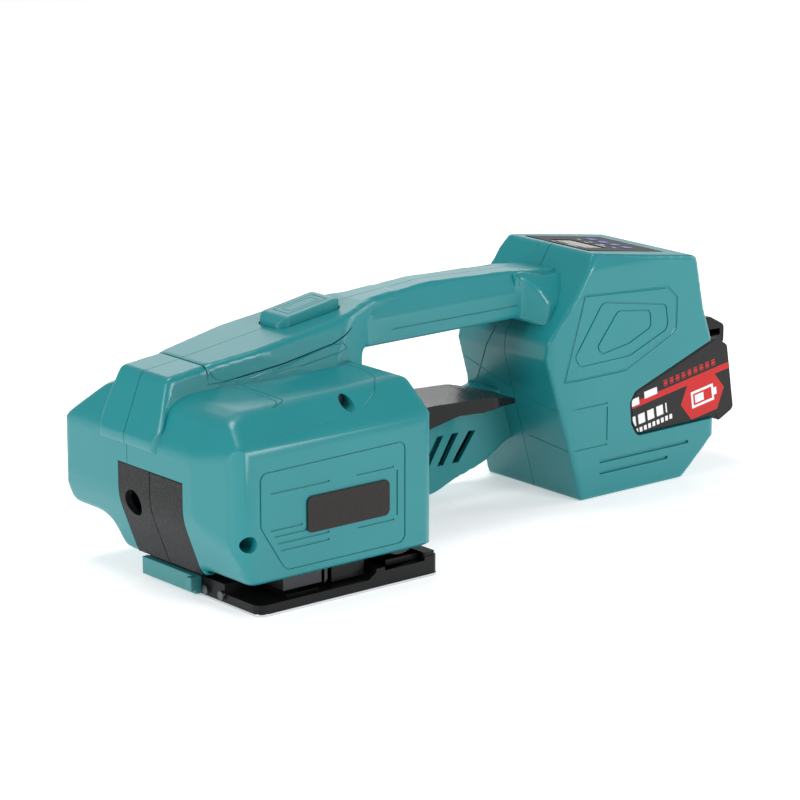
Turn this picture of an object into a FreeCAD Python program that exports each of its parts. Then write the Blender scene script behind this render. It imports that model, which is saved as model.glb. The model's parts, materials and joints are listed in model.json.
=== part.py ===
"""Battery powered strapping tool: housing, strapping unit, drive trains, display and battery.

Frame: +X runs from the nose to the battery, -Y is the strap side, +Z is up.  The origin lies on the
underside of the wear plate, in the parting plane of the housing, midway along the base plate.
Every driving dimension sits in the sheet "dims"; lengths are millimetres, angles degrees.
"""
import FreeCAD
import Part
import Sketcher
import math
import os

os.makedirs("parts", exist_ok=True)
doc = FreeCAD.newDocument("strapping_tool")
Vec = FreeCAD.Vector

# ---------------------------------------------------------------- driving dimensions
DIMENSIONS = [
    ("wall", 2.5, "housing wall"),
    ("skin", 1.5, "battery case wall"),
    ("fit", 0.05, "radial running clearance of a shaft"),
    ("nose_x", -68, "front plane of the housing"),
    ("body_end", 52.6, "rear face of the near bulge"),
    ("near_y", -84, "near face of the bulge"),
    ("far_y", 56, "far face of the housing"),
    ("floor_z", 15, "underside of the housing"),
    ("lip_z", 10.6, "underside of the front lip above the strap guide"),
    ("box_half", 36, "half width of the battery box"),
    ("pack_half", 34.6, "half width of the battery pack"),
    ("hump_half", 20, "half width of the raised middle of the pack"),
    ("handle_half", 15, "half width of the handle"),
    ("wear_thick", 1.4, "thickness of the wear plate"),
    ("base_top", 10.2, "top of the base plate"),
    ("channel_z", 5.6, "floor of the strap channel in the base plate"),
    ("base_x", 54, "half length of the base plate"),
    ("frame_near", -2, "near face of the frame plate"),
    ("frame_far", 4, "far face of the frame plate"),
    ("pivot_x", -5, "rocker pivot, along"),
    ("pivot_z", 42, "rocker pivot, height"),
    ("pivot_rad", 4, "rocker pivot shaft radius"),
    ("wheel_x", 34.5, "tension wheel, along"),
    ("wheel_z", 26.8, "tension wheel, height"),
    ("wheel_rad", 14, "tension wheel radius"),
    ("wheel_low", -79, "near face of the tension wheel"),
    ("wheel_high", -61, "far face of the tension wheel"),
    ("shaft_rad", 4, "tension shaft radius"),
    ("module", 1, "gear module"),
    ("pinion_teeth", 12, "teeth on the tension motor pinion"),
    ("idler_teeth", 30, "teeth on the large idler gear"),
    ("idler_small", 14, "teeth on the small idler gear"),
    ("wheel_teeth", 28, "teeth on the tension shaft gear"),
    ("idler_angle", 124.8, "direction of the idler seen from the tension shaft"),
    ("motor_angle", 109.5, "direction of the tension motor seen from the idler"),
    ("motor_rad", 15, "tension motor radius"),
    ("weld_x", -36, "welding motor, along"),
    ("weld_z", 62, "welding motor, height"),
    ("weld_rad", 18, "welding motor radius"),
    ("ecc_x", -28, "eccentric shaft, along"),
    ("ecc_z", 29, "eccentric shaft, height"),
    ("ecc_rad", 4, "eccentric shaft radius"),
    ("ecc_throw", 0.8, "throw of the eccentric"),
    ("pulley_teeth", 20, "teeth on the welding motor pulley"),
    ("ecc_teeth", 12, "teeth on the eccentric pulley"),
    ("belt_thick", 1.4, "thickness of the drive belt"),
    ("cell_rad", 9.2, "radius of a battery cell"),
    ("cell_long", 65, "length of a battery cell"),
    ("slope", 0.145, "fall of the box top per millimetre to the rear"),
]
sheet = doc.addObject("Spreadsheet::Sheet", "dims")
for row, (alias, value, note) in enumerate(DIMENSIONS, 1):
    sheet.set("A%d" % row, note)
    sheet.set("B%d" % row, str(value))
    sheet.setAlias("B%d" % row, alias)
doc.recompute()

nodes = []


def num(size):
    """Value of a size given as a number or as an expression on the sheet."""
    if isinstance(size, str):
        found = sheet.evalExpression(size)
        return float(getattr(found, "Value", found))
    return float(size)


def bind(thing, prop, size):
    """Set a property to a number, or bind it to the sheet when the size is an expression."""
    if isinstance(size, str):
        thing.setExpression(prop, size)
    elif prop.startswith("Placement.Base."):
        place = thing.Placement
        setattr(place.Base, prop[-1], float(size))
        thing.Placement = place
    else:
        setattr(thing, prop, size)


# ---------------------------------------------------------------- outlines
def rounded(points):
    """Lines and arcs of a closed outline whose points are (u, v) or (u, v, corner radius)."""
    pts = [(num(p[0]), num(p[1]), num(p[2]) if len(p) > 2 else 0.0) for p in points]
    count = len(pts)
    corners = []
    for i in range(count):
        here = Vec(pts[i][0], pts[i][1], 0)
        to_last = (Vec(pts[i - 1][0], pts[i - 1][1], 0) - here)
        to_next = (Vec(pts[(i + 1) % count][0], pts[(i + 1) % count][1], 0) - here)
        radius = pts[i][2]
        angle = to_last.getAngle(to_next)
        if radius <= 0 or angle > math.pi - 0.02:
            corners.append((here, None, here))
            continue
        back = min(radius / math.tan(angle / 2), 0.49 * to_last.Length, 0.49 * to_next.Length)
        real = back * math.tan(angle / 2)
        to_last.normalize()
        to_next.normalize()
        middle = (to_last + to_next).normalize()
        centre = here + middle * (real / math.sin(angle / 2))
        corners.append((here + to_last * back, centre - middle * real, here + to_next * back))
    shapes = []
    for i in range(count):
        first, crown, last = corners[i]
        if crown is not None:
            shapes.append(Part.Arc(first, crown, last))
        after = corners[(i + 1) % count][0]
        if last.distanceToPoint(after) > 1e-4:
            shapes.append(Part.LineSegment(last, after))
    return shapes


def inset(points, depth):
    """The outline moved inwards by depth; corner radii follow. Points run counter-clockwise."""
    pts = [(num(p[0]), num(p[1]), num(p[2]) if len(p) > 2 else 0.0) for p in points]
    area = sum(a[0] * b[1] - b[0] * a[1] for a, b in zip(pts, pts[1:] + pts[:1]))
    sense = 1.0 if area > 0 else -1.0
    out = []
    for i in range(len(pts)):
        x0, y0 = pts[i - 1][:2]
        x1, y1, radius = pts[i]
        x2, y2 = pts[(i + 1) % len(pts)][:2]
        ax, ay = x1 - x0, y1 - y0
        bx, by = x2 - x1, y2 - y1
        la, lb = math.hypot(ax, ay), math.hypot(bx, by)
        nax, nay = -ay / la * sense, ax / la * sense
        nbx, nby = -by / lb * sense, bx / lb * sense
        cross = (ax * by - ay * bx) / (la * lb)
        share = 1.0 + nax * nbx + nay * nby
        turn = cross * sense
        new_radius = max(radius - depth, 0.6) if turn > 0 else radius + depth
        out.append((x1 + (nax + nbx) / share * depth, y1 + (nay + nby) / share * depth,
                    new_radius if radius else (0 if turn > 0 else depth)))
    return out


def ring_path(points, width):
    """Two outlines either side of a closed line, for an engraved groove."""
    return [("poly", inset(points, -width / 2)), ("poly", inset(points, width / 2))]


def box2(u0, v0, u1, v1, radius=0):
    """A rectangle outline, with rounded corners when a radius is given."""
    if radius:
        return ("poly", [(u0, v0, radius), (u1, v0, radius), (u1, v1, radius), (u0, v1, radius)])
    return ("poly", [(u0, v0), (u1, v0), (u1, v1), (u0, v1)])


def round2(u, v, radius):
    """A circle outline."""
    return ("circle", u, v, radius)


# ---------------------------------------------------------------- bodies
PLANES = {"Z": ("XY_Plane", 1), "Y": ("XZ_Plane", -1), "X": ("YZ_Plane", 1)}


class Piece:
    """A PartDesign body made of pads and pockets along the three main axes."""

    def __init__(self, name, node=True):
        self.body = doc.addObject("PartDesign::Body", name)
        self.body.Label = name
        self.name = name
        self.count = 0
        if node:
            nodes.append(self.body)

    def sketch(self, axis, at, loops):
        role, sense = PLANES[axis]
        self.count += 1
        sketch = self.body.newObject("Sketcher::SketchObject", "%s_sketch%d" % (self.name, self.count))
        origin = [f for f in self.body.Origin.OriginFeatures if f.Role == role][0]
        sketch.AttachmentSupport = [(origin, "")]
        sketch.MapMode = "FlatFace"
        place = at if isinstance(at, str) else repr(float(at))
        sketch.setExpression("AttachmentOffset.Base.z", place if sense > 0 else "-(%s)" % place)
        for loop in loops:
            if loop[0] == "circle":
                self.add_circle(sketch, *loop[1:])
            else:
                self.add_outline(sketch, loop[1])
        return sketch

    def add_circle(self, sketch, u, v, radius):
        circle = Part.Circle(Vec(num(u), num(v), 0), Vec(0, 0, 1), num(radius))
        where = sketch.addGeometry(circle, False)
        for kind, size in (("DistanceX", u), ("DistanceY", v)):
            rule = sketch.addConstraint(Sketcher.Constraint(kind, -1, 1, where, 3, num(size)))
            if isinstance(size, str):
                sketch.setExpression("Constraints[%d]" % rule, size)
        rule = sketch.addConstraint(Sketcher.Constraint("Radius", where, num(radius)))
        if isinstance(radius, str):
            sketch.setExpression("Constraints[%d]" % rule, radius)

    def add_outline(self, sketch, points):
        first = sketch.GeometryCount
        plain = all(len(p) == 2 for p in points)
        sketch.addGeometry(rounded(points), False)
        last = sketch.GeometryCount
        if not plain or last - first != len(points) or last - first > 40:
            return
        for i in range(first, last):
            after = i + 1 if i + 1 < last else first
            sketch.addConstraint(Sketcher.Constraint("Coincident", i, 2, after, 1))
        for i, point in enumerate(points):
            for kind, size in zip(("DistanceX", "DistanceY"), point):
                if isinstance(size, str):
                    rule = Sketcher.Constraint(kind, -1, 1, first + i, 1, num(size))
                    sketch.setExpression("Constraints[%d]" % sketch.addConstraint(rule), size)

    def pad(self, axis, low, high, *loops):
        start = high if axis == "Y" else low
        sketch = self.sketch(axis, start, loops)
        feature = self.body.newObject("PartDesign::Pad", "%s_pad%d" % (self.name, self.count))
        feature.Profile = sketch
        self.set_length(feature, low, high)
        return self

    def cut(self, axis, low, high, *loops):
        before = self.body.Shape.Volume
        start = low if axis == "Y" else high
        sketch = self.sketch(axis, start, loops)
        feature = self.body.newObject("PartDesign::Pocket", "%s_pocket%d" % (self.name, self.count))
        feature.Profile = sketch
        self.set_length(feature, low, high)
        if self.body.Shape.Volume > before - 1e-3:
            raise RuntimeError("%s: pocket %d cut nothing" % (self.name, self.count))
        return self

    def set_length(self, feature, low, high):
        low = low if isinstance(low, str) else repr(float(low))
        high = high if isinstance(high, str) else repr(float(high))
        feature.setExpression("Length", "(%s) - (%s)" % (high, low))
        doc.recompute()

    def move(self, x=0, y=0, z=0):
        for prop, size in (("x", x), ("y", y), ("z", z)):
            bind(self.body, "Placement.Base." + prop, size)
        doc.recompute()
        return self


def prism(name, axis, low, high, points):
    """A helper body: one outline swept straight between two planes."""
    return Piece(name, node=False).pad(axis, low, high, ("poly", points)).body


def joined(kind, name, parts, node=False):
    """Part boolean of several objects: MultiFuse, MultiCommon, Cut or Compound."""
    thing = doc.addObject("Part::" + kind, name)
    thing.Label = name
    if kind == "Cut":
        thing.Base, thing.Tool = parts
    elif kind == "Compound":
        thing.Links = parts
    else:
        thing.Shapes = parts
    doc.recompute()
    if node:
        nodes.append(thing)
    return thing


def block(name, x0, x1, y0, y1, z0, z1):
    """A Part box between two corners, each bound to the sheet where it is an expression."""
    thing = doc.addObject("Part::Box", name)
    for prop, low, high in (("Length", x0, x1), ("Width", y0, y1), ("Height", z0, z1)):
        low = low if isinstance(low, str) else repr(float(low))
        high = high if isinstance(high, str) else repr(float(high))
        thing.setExpression(prop, "(%s) - (%s)" % (high, low))
    for prop, low in (("x", x0), ("y", y0), ("z", z0)):
        bind(thing, "Placement.Base." + prop, low)
    doc.recompute()
    return thing


def rod(name, axis, at, low, high, radius):
    """A Part cylinder along one main axis; at gives its other two coordinates."""
    thing = doc.addObject("Part::Cylinder", name)
    bind(thing, "Radius", radius)
    low_text = low if isinstance(low, str) else repr(float(low))
    high_text = high if isinstance(high, str) else repr(float(high))
    thing.setExpression("Height", "(%s) - (%s)" % (high_text, low_text))
    turn = {"Z": FreeCAD.Rotation(), "X": FreeCAD.Rotation(Vec(0, 1, 0), 90),
            "Y": FreeCAD.Rotation(Vec(1, 0, 0), -90)}[axis]
    thing.Placement = FreeCAD.Placement(Vec(), turn)
    spots = {"X": ("x", "y", "z"), "Y": ("y", "x", "z"), "Z": ("z", "x", "y")}[axis]
    for prop, size in zip(spots, (low,) + tuple(at)):
        bind(thing, "Placement.Base." + prop, size)
    doc.recompute()
    return thing


def tilted(thing, angle, x, z):
    """Turn a finished object about a line along Y through (x, z)."""
    turn = FreeCAD.Rotation(Vec(0, 1, 0), angle)
    place = thing.Placement
    moved = FreeCAD.Placement(Vec(x, 0, z), FreeCAD.Rotation()).multiply(
        FreeCAD.Placement(Vec(), turn)).multiply(
        FreeCAD.Placement(Vec(-x, 0, -z), FreeCAD.Rotation()))
    thing.Placement = moved.multiply(place)
    doc.recompute()
    return thing


# ---------------------------------------------------------------- housing envelope
def envelope(depth):
    """The housing's solid shape, moved inwards by depth: depth 0 outside, one wall inside."""
    tag = "outer" if depth == 0 else "inner"

    def grown(points):
        return inset(points, depth) if depth else points

    def three_view(name, side, front, plan):
        views = [prism("%s_%s_side" % (name, tag), "Y", -90, 60, grown(side)),
                 prism("%s_%s_front" % (name, tag), "X", -80, 300, grown(front)),
                 prism("%s_%s_plan" % (name, tag), "Z", -5, 140, grown(plan))]
        return joined("MultiCommon", "%s_%s" % (name, tag), views)

    nose = num("dims.nose_x")
    end = num("dims.body_end")
    near = num("dims.near_y")
    far = num("dims.far_y")
    floor = num("dims.floor_z")
    lip = num("dims.lip_z")
    half = num("dims.box_half")
    grip = num("dims.handle_half")
    body = three_view(
        "body",
        [(nose, 41, 34), (nose + 11.5, lip, 1), (-46, lip), (-44, floor), (end, floor, 2), (end, 96, 7),
         (-48, 94, 24), (-59, 91, 10), (nose, 73, 14)],
        [(near, 5), (19, 5), (24, floor + 9, 8), (30, 27, 6), (far, 27, 12), (far, 71, 14), (24, 97, 10),
         (-62, 97, 12), (near, 80, 11)],
        [(nose, -52, 12), (nose + 3.5, near, 11), (end, near, 8), (end, far, 8), (nose, far, 8)])
    hump = three_view(
        "hump",
        [(nose - 2, 69, 2), (-30, 60), (-30, 104.2), (-36, 105, 2), (-58.5, 102.3, 5),
         (nose - 2, 73, 6)],
        [(-28, 60), (25, 60), (25, 72, 8), (17, 110, 7), (-19.5, 110, 7), (-28, 72, 8)],
        [(nose - 2, -26, 6), (-30, -26), (-30, 22), (nose - 2, 22, 5)])
    hump_round = prism("hump_round_" + tag, "X", -80, -28, grown(
        [(-28, 60), (25, 60), (25, 74), (17.5, 105.4, 6), (-20.5, 105.4, 6), (-28, 74)]))
    hump = joined("MultiCommon", "hump_cut_" + tag, [hump, hump_round])
    spine_side = [(-40, 75), (62, 75, 3), (62, 97, 5), (90, 97.5), (90, 122.3), (66, 120.3, 18),
                  (-35.6, 105.4), (-36.6, 103.4), (-40, 103)]
    spine = three_view(
        "spine", spine_side,
        [(-35, 75), (33, 75), (24.6, 112, 6), (18, 126), (-18, 126), (-24.6, 112, 6)],
        [(-40, -21.5), (-34, -21.8), (10, -28.5), (34, -30, 20), (74, -12), (90, -12), (90, 12), (74, 12),
         (34, 28, 20), (10, 26), (-34, 19.5), (-40, 19.2)])
    handle = joined("MultiCommon", "handle_" + tag, [
        prism("handle_side_" + tag, "Y", -60, 60, grown(
            [(60, 97, 3), (170, 97.5), (196, 93), (196, 119), (168, 121.5, 30), (110, 123.5, 60),
             (60, 119.2)])),
        prism("handle_front_" + tag, "X", 50, 200, grown(
            [(-grip, 92, 7), (grip, 92, 7), (grip, 112, 6), (9, 124.5, 7), (-9, 124.5, 7),
             (-grip, 112, 6)]))])
    collar = joined("MultiCommon", "collar_" + tag, [
        prism("collar_side_" + tag, "Y", -60, 60, grown(
            [(164, 98, 6), (172, 94.2, 8), (200, 92), (200, 118), (184, 117.5, 6), (169, 121, 8),
             (164, 120)])),
        prism("collar_plan_" + tag, "Z", 80, 130, grown(
            [(164, -14), (168.4, -15.4, 6), (176.5, -24.8, 5), (200, -25.6), (200, 25.6), (176.5, 24.8, 5),
             (168.4, 15.4, 6), (164, 14)])),
        prism("collar_front_" + tag, "X", 160, 205, grown(
            [(-25.6, 91, 7), (25.6, 91, 7), (24.8, 105, 8), (20.6, 113, 6), (13, 121, 8), (-13, 121, 8),
             (-20.6, 113, 6), (-24.8, 105, 8)]))])
    box = three_view(
        "box",
        [(191.2, 0, 3), (264.6, 0, 5), (287.6, 20, 3), (287.6, 66, 2), (284.7, 72), (278.2, 90, 8),
         (272, 119.5, 6), (200.5, 129.6, 4), (186.5, 108.5, 5), (170.2, 87, 9), (169.2, 77.5, 8)],
        [(-half, -5), (half + 1.5, -5), (half + 1.5, 90, 20), (half, 122, 8), (half - 4, 132),
         (-half + 4, 132), (-half, 122, 8)],
        [(160, -half, 5), (289, -half, 6), (289, half + 1.5, 6), (160, half + 1.5, 5)])
    corner = joined("MultiCommon", "box_corner_" + tag, [
        box, prism("box_corner_cut_" + tag, "Z", -5, 140, grown(
            [(160, -half + 16), (171, -half + 2.2, 9), (190, -half - 0.2), (292, -half - 0.2),
             (292, half + 2), (160, half + 2)]))])
    arm = joined("MultiCommon", "arm_" + tag, [
        prism("arm_side_" + tag, "Y", 10, 45, grown(
            [(44, 18), (60, 4, 14), (136, 2, 60), (168, 14.5, 40), (196, 36), (196, 58, 3),
             (150, 47, 60), (100, 50, 60), (44, 54)])),
        prism("arm_plan_" + tag, "Z", -5, 80, grown(
            [(44, 16.5), (150, 16.5, 30), (184, 10), (196, 10), (196, 34), (150, 38, 40), (44, 42)]))])
    under_lip = block("under_lip_" + tag, -90, -40, -90, -46.5 - depth, 0, floor + depth)
    body = joined("Cut", "body_trimmed_" + tag, [body, under_lip])
    return [body, hump, spine, handle, collar, corner, arm]


outer = joined("MultiFuse", "outer_shape", envelope(0))
inner = joined("MultiFuse", "inner_shape", envelope(num("dims.wall")))

bay_side = [(226, 36, 4), (225, 47.7, 3), (228.6, 53, 3), (320, 85.1), (320, 29.2), (230.4, 28.5, 5)]
bay = joined("MultiFuse", "bay", [
    prism("bay_wide", "Y", -60, 60, bay_side),
    block("bay_hump", 231, 330, "-dims.hump_half - 0.4", "dims.hump_half + 0.4", 40, 74.4)])
bay_walls = joined("MultiFuse", "bay_walls", [
    prism("bay_wall_wide", "Y", -60, 60, inset(bay_side, -2)),
    block("bay_wall_hump", 229, 330, "-dims.hump_half - 2.4", "dims.hump_half + 2.4", 38, 76.4)])
hollow = joined("Cut", "hollow", [inner, bay_walls])
print("envelope volumes", [round(thing.Shape.Volume) for thing in (outer, inner, hollow)])

# ---------------------------------------------------------------- openings in the shell
guard_side = [(-71, 8), (-53.6, 8), (-53.6, 12.4), (-61.6, 34.2, 8), (-64.0, 43.1, 20), (-64.0, 58.9),
              (-71, 58.9)]
openings = [
    prism("guard_gap", "Y", -44.6, 7.6, guard_side),
    Piece("floor_gap", node=False).pad("Z", 0, 24, box2(-45, -79.6, 48.6, 7, 2)).body,
    Piece("button_gap", node=False).pad("Z", 100, 130, box2(15.6, -10.6, 56, 10.6, 6.4)).body,
    block("lever_gap", 40, 66, -23, 19, 42, 73),
    Piece("panel_gap", node=False).pad("Z", 112, 140, box2(206.5, -22, 255, 22, 3)).body,
    Piece("left_screw_low", node=False).pad("Y", -92, -70, round2(-58.6, 36.2, 3.9)).body,
]
slots = Piece("box_slots", node=False)
slots.pad("Y", -37, "-dims.box_half + 1.2", box2(204, 18.3, 268, 20.1, 0.85),
          box2(204, 12.3, 253, 14.1, 0.85))
openings.append(slots.body)
vents = Piece("arm_vents", node=False)
vents.pad("Y", 12, 22, *[("poly", [(x, 17), (x + 4.2, 17), (x + 14.2, 33), (x + 10, 33)])
                         for x in (128, 138, 148)])
openings.append(vents.body)


def groove(name, points, near=-84.0, width=0.8, depth=0.5):
    """A closed engraved line on a near face."""
    return Piece(name, node=False).pad("Y", near - 3, near + depth, *ring_path(points, width)).body


engraved = [
    groove("panel_line", [(-52.5, 43, 4), (-38.5, 20.6, 6), (33.2, 20.6, 4), (33.2, 70.2, 4),
                          (-52.5, 69, 4)]),
    groove("box_line_outer", [(189.3, 72.2, 3), (224.3, 73, 6), (251.3, 83.4, 4), (249.6, 96.5, 4),
                              (204.6, 104, 5), (185.7, 77.5, 3)], near=-36),
    groove("box_line_inner", [(204.5, 76.7, 3), (223.5, 79.6, 3), (239, 86, 3), (238.1, 95, 3),
                              (215.3, 98, 4), (200.9, 80.4, 3)], near=-36),
]
ribs = Piece("panel_ribs", node=False)
ribs.pad("Y", -87, -83.5, box2(-46.6, 58.2, -12.2, 59.4, 0.55), box2(-46.8, 40.4, -28.2, 41.6, 0.55),
         box2(-44.6, 37.2, -13, 38.4, 0.55), box2(-43, 33.6, -12.4, 34.8, 0.55),
         box2(-41, 30.0, -12.4, 31.2, 0.55), box2(3.7, 58.2, 26.5, 59.2, 0.45),
         box2(27.9, 34.5, 28.9, 56.8, 0.45), box2(4.4, 32.4, 26.5, 33.4, 0.45))
engraved.append(ribs.body)
creases = Piece("box_creases", node=False)
creases.pad("Y", -39, -35.5, box2(165, 49.6, 209, 50.4), box2(165, 27.6, 209, 28.4),
            box2(208.4, 30, 209.2, 48, 0.3))
engraved.append(creases.body)
cover_line = [(-37, 96.2), (-27, 96.2), (35.9, 105.7), (45.2, 108.7), (57.7, 114), (80, 114.8),
              (80, 115.5), (57.5, 114.7), (45, 109.4), (35.8, 106.4), (-27, 96.9), (-37, 96.9)]
engraved.append(prism("cover_line", "Y", -60, -22.2, cover_line))
engraved.append(block("cover_split", -36.4, -35.6, -60, 60, 103.4, 110))
handle_lines = Piece("handle_lines", node=False)
handle_lines.pad("Y", -18, "-dims.handle_half + 0.5", box2(80, 112.6, 163, 113.4, 0.35),
                 box2(82, 104.1, 164, 104.9, 0.35))
engraved.append(handle_lines.body)

# ---------------------------------------------------------------- screw bosses and the two halves
# each screw: along, height, near end of its boss, seat of its head, boss radius
SCREWS = [(72, 109, -14, 9, 4.4), (158, 109, -14, 9, 4.4), (262, 100, -35, 28, 5.2),
          (184, 70, -35, 28, 5.2), (197, 20, -35, 28, 5.2), (275, 14, -35, 28, 5.2),
          (50, 84, -22, 28, 5.2), (-50, 95, -26, 10, 4.4)]
bosses = [rod("boss%d" % i, "Y", (x, z), near, 55, size)
          for i, (x, z, near, seat, size) in enumerate(SCREWS)]
bosses.append(rod("near_boss_low", "Y", (-58.6, 36.2), -84, -50, 5.6))
bosses.append(rod("near_boss_top", "Y", (8.5, 90), -84, -24, 5.2))
bosses.append(rod("spring_seat_top", "Z", (40, -42), 88, 94, 6))
boss_set = joined("MultiCommon", "boss_set", [joined("MultiFuse", "boss_rods", bosses), outer])
holes = []
for i, (x, z, near, seat, size) in enumerate(SCREWS):
    holes.append(rod("sink%d" % i, "Y", (x, z), seat, 70, size - 1.5))
    holes.append(rod("drill%d" % i, "Y", (x, z), -9.2, seat + 1, 1.45))
holes.append(rod("sink_near_low", "Y", (-58.6, 36.2), -90, -58, 3.9))
holes.append(rod("drill_near_low", "Y", (-58.6, 36.2), -60, -51.5, 1.45))
holes.append(rod("sink_near_top", "Y", (8.5, 90), -90, -62, 3.6))
holes.append(rod("drill_near_top", "Y", (8.5, 90), -64, -26, 1.45))
holes.append(block("latch_groove", 275.4, 292, -6.5, 6.5, 74, 76.9))
holes.append(block("wheel_relief", 45, 51.5, -80, -60.2, 16, 50))
holes.append(block("gear_relief", 45, 51.5, -13.2, -7.2, 16, 50))
all_gaps = joined("MultiFuse", "all_gaps", [hollow, bay] + openings + engraved)
shell = joined("Cut", "shell", [outer, all_gaps])
panel_rise = math.degrees(math.atan(num("dims.slope")))


def top_block(name, s0, s1, y0, y1, low, high, node=False):
    """A block on the sloping box top: s along the slope, low and high measured from its surface."""
    thing = block(name, 200.5 + s0, 200.5 + s1, y0, y1, 129.6 + low, 129.6 + high)
    if node:
        nodes.append(thing)
    return tilted(thing, panel_rise, 200.5, 129.6)


seat_cut = top_block("panel_seat", 3.6, 57.9, -24.9, 24.9, -1.1, 8)
solid_shell = joined("MultiFuse", "solid_shell", [shell, boss_set])
drilled = joined("Cut", "drilled", [solid_shell, joined("MultiFuse", "holes", holes + [seat_cut])])
near_space = block("near_space", -100, 340, -100, 0, -10, 150)
far_space = block("far_space", -100, 340, 0, 100, -10, 150)
joined("MultiCommon", "right_housing", [drilled, near_space], node=True)
joined("MultiCommon", "left_housing", [drilled, far_space], node=True)
screws = []
for i, (x, z, near, seat, size) in enumerate(SCREWS):
    screws.append(rod("screw_head%d" % i, "Y", (x, z), seat, seat + 2.4, size - 2))
    screws.append(rod("screw_shank%d" % i, "Y", (x, z), -8.5, seat, 1.45))
for tag, x, z, seat in (("low", -58.6, 36.2, -58), ("top", 8.5, 90, -62)):
    screws.append(rod("near_head_" + tag, "Y", (x, z), seat - 2.4, seat, 3.2))
    screws.append(rod("near_shank_" + tag, "Y", (x, z), seat, seat + 6, 1.45))
pairs = [joined("MultiFuse", "screw%d" % i, screws[2 * i:2 * i + 2]) for i in range(len(screws) // 2)]
joined("Compound", "housing_screws", pairs, node=True)

guard_skin = [(-68, 41, 34), (-57.0, 12.0), (-54.0, 12.0), (-62.0, 34, 8), (-64.4, 43, 20), (-64.4, 58.6),
              (-68, 58.6)]
for tag, y0, y1 in (("right", -44.3, -18.2), ("left", -17.9, 7.3)):
    guard = Piece(tag + "_nose_guard").pad("Y", y0, y1, ("poly", guard_skin))
    if tag == "left":
        guard.cut("X", -75, -55, round2(-3.6, 40.2, 6.5))
Piece("badge_plate").pad("Y", "dims.near_y - 1", "dims.near_y", box2(-25.8, 35.8, 23.4, 53.4, 3))

# ---------------------------------------------------------------- base, strap path and frame
wear = Piece("wear_plate").pad("Z", 0, "dims.wear_thick", (
    "poly", [(-54, -84.6, 5), (54, -84.6, 3), (54, 4, 2), (-54, 4, 2)]))
PLATE_SCREWS = [(-44, -40), (44, -40), (-44, -6), (44, -6)]
wear.cut("Z", 0, "dims.wear_thick", *[round2(x, y, 2.8) for x, y in PLATE_SCREWS])
base = Piece("base_plate").pad("Z", "dims.wear_thick", "dims.base_top", (
    "poly", [(-54, -84, 5), (54, -84, 3), (54, 4, 2), (-54, 4, 2)]))
base.pad("Z", "dims.base_top", 12.2, box2(45.8, -83.4, 52.4, -58, 1))
base.cut("Y", -90, -57.5, ("poly", [(-60, "dims.channel_z"), (11.5, "dims.channel_z"), (15.8, 8.6),
                                   (15.8, 13), (-60, 13)]))
base.cut("Z", 8.4, 13, box2(21, -90, 45.6, -57.5))
base.cut("Z", 7, 9, box2(25.5, -79, 45.5, -61))
base.cut("Z", 3.4, 7, box2(-34, -79, -15, -61))
base.cut("Z", 1, 8, *[round2(x, y, 1.5) for x, y in PLATE_SCREWS])
base.cut("X", -54, -50, round2(-43.7, 4.6, 1.2), round2(-56, 4.6, 1.2))
plate_screws = []
for i, (x, y) in enumerate(PLATE_SCREWS):
    plate_screws.append(joined("MultiFuse", "plate_screw%d" % i, [
        rod("plate_head%d" % i, "Z", (x, y), 0.1, 1.4, 2.8),
        rod("plate_shank%d" % i, "Z", (x, y), 1.4, 7.8, 1.5)]))
joined("Compound", "wear_plate_screws", plate_screws, node=True)
front_screws = []
for i, y in enumerate((-43.7, -56)):
    front_screws.append(joined("MultiFuse", "front_screw%d" % i, [
        rod("front_head%d" % i, "X", (y, 4.6), -55.6, -54, 2.1),
        rod("front_shank%d" % i, "X", (y, 4.6), -54, -50.2, 1.2)]))
joined("Compound", "base_front_screws", front_screws, node=True)
guide = Piece("strap_guide_bracket").pad("Y", -39.7, 4, ("poly", [
    (-57.6, 1.5), (-54, 1.5), (-54, 10.2), (-57.6, 10.2)]))
guide.pad("Y", -39.7, -36.2, box2(-60.6, 3.2, -57.6, 10.2))


def saw(x0, x1, low, high, pitch, tooth):
    """Side outline of a serrated block: flat underneath, saw teeth on top."""
    points = [(x0, low), (x1, low)]
    count = int(round((x1 - x0) / pitch))
    step = (x1 - x0) / count
    for i in range(count):
        points.append((x1 - i * step, high))
        points.append((x1 - (i + 0.75) * step, high + tooth))
    points.append((x0, high))
    return ("poly", points)


Piece("gripper_plate").pad("Y", -78.9, -61.1, saw(25.6, 45.4, 7, 11, 1.65, 0.8))
Piece("weld_anvil").pad("Y", -78.9, -61.1, saw(-33.9, -15.1, 3.4, 6, 1.45, 0.5))
frame = Piece("main_frame").pad("Y", "dims.frame_near", "dims.frame_far", ("poly", [
    (-41, "dims.base_top"), (46.5, "dims.base_top"), (46.5, 50), (10, 76), (-54, 72), (-54, 22),
    (-41, 22)]))
frame.pad("Z", "dims.base_top", 14, box2(-41, -14, 16, "dims.frame_near"))
frame.cut("Y", -3, 5, round2("dims.pivot_x", "dims.pivot_z", "dims.pivot_rad"),
          round2("dims.ecc_x", "dims.ecc_z", 8), round2("dims.weld_x", "dims.weld_z", 5))
frame.cut("Y", -3, 5, ("poly", [(12, 34, 4), (34, 34, 4), (34, 48, 4), (12, 60, 4)]))
POSTS = [(-39, 19.5), (-17.5, 19.5), (-31, 42)]
carrier = Piece("weld_bearing_block").pad("Y", -58, -50, ("poly", [
    (-43, 15.6, 2), (-14.2, 15.6, 2), (-14.2, 36, 3), (-24, 47, 4), (-37, 47, 4), (-43, 38, 3)]))
carrier.cut("Y", -60, -48, round2("dims.ecc_x", "dims.ecc_z", 8))
joined("Compound", "weld_block_posts", [rod("post%d" % i, "Y", p, -50, "dims.frame_near", 3.2)
                                         for i, p in enumerate(POSTS)], node=True)
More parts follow.
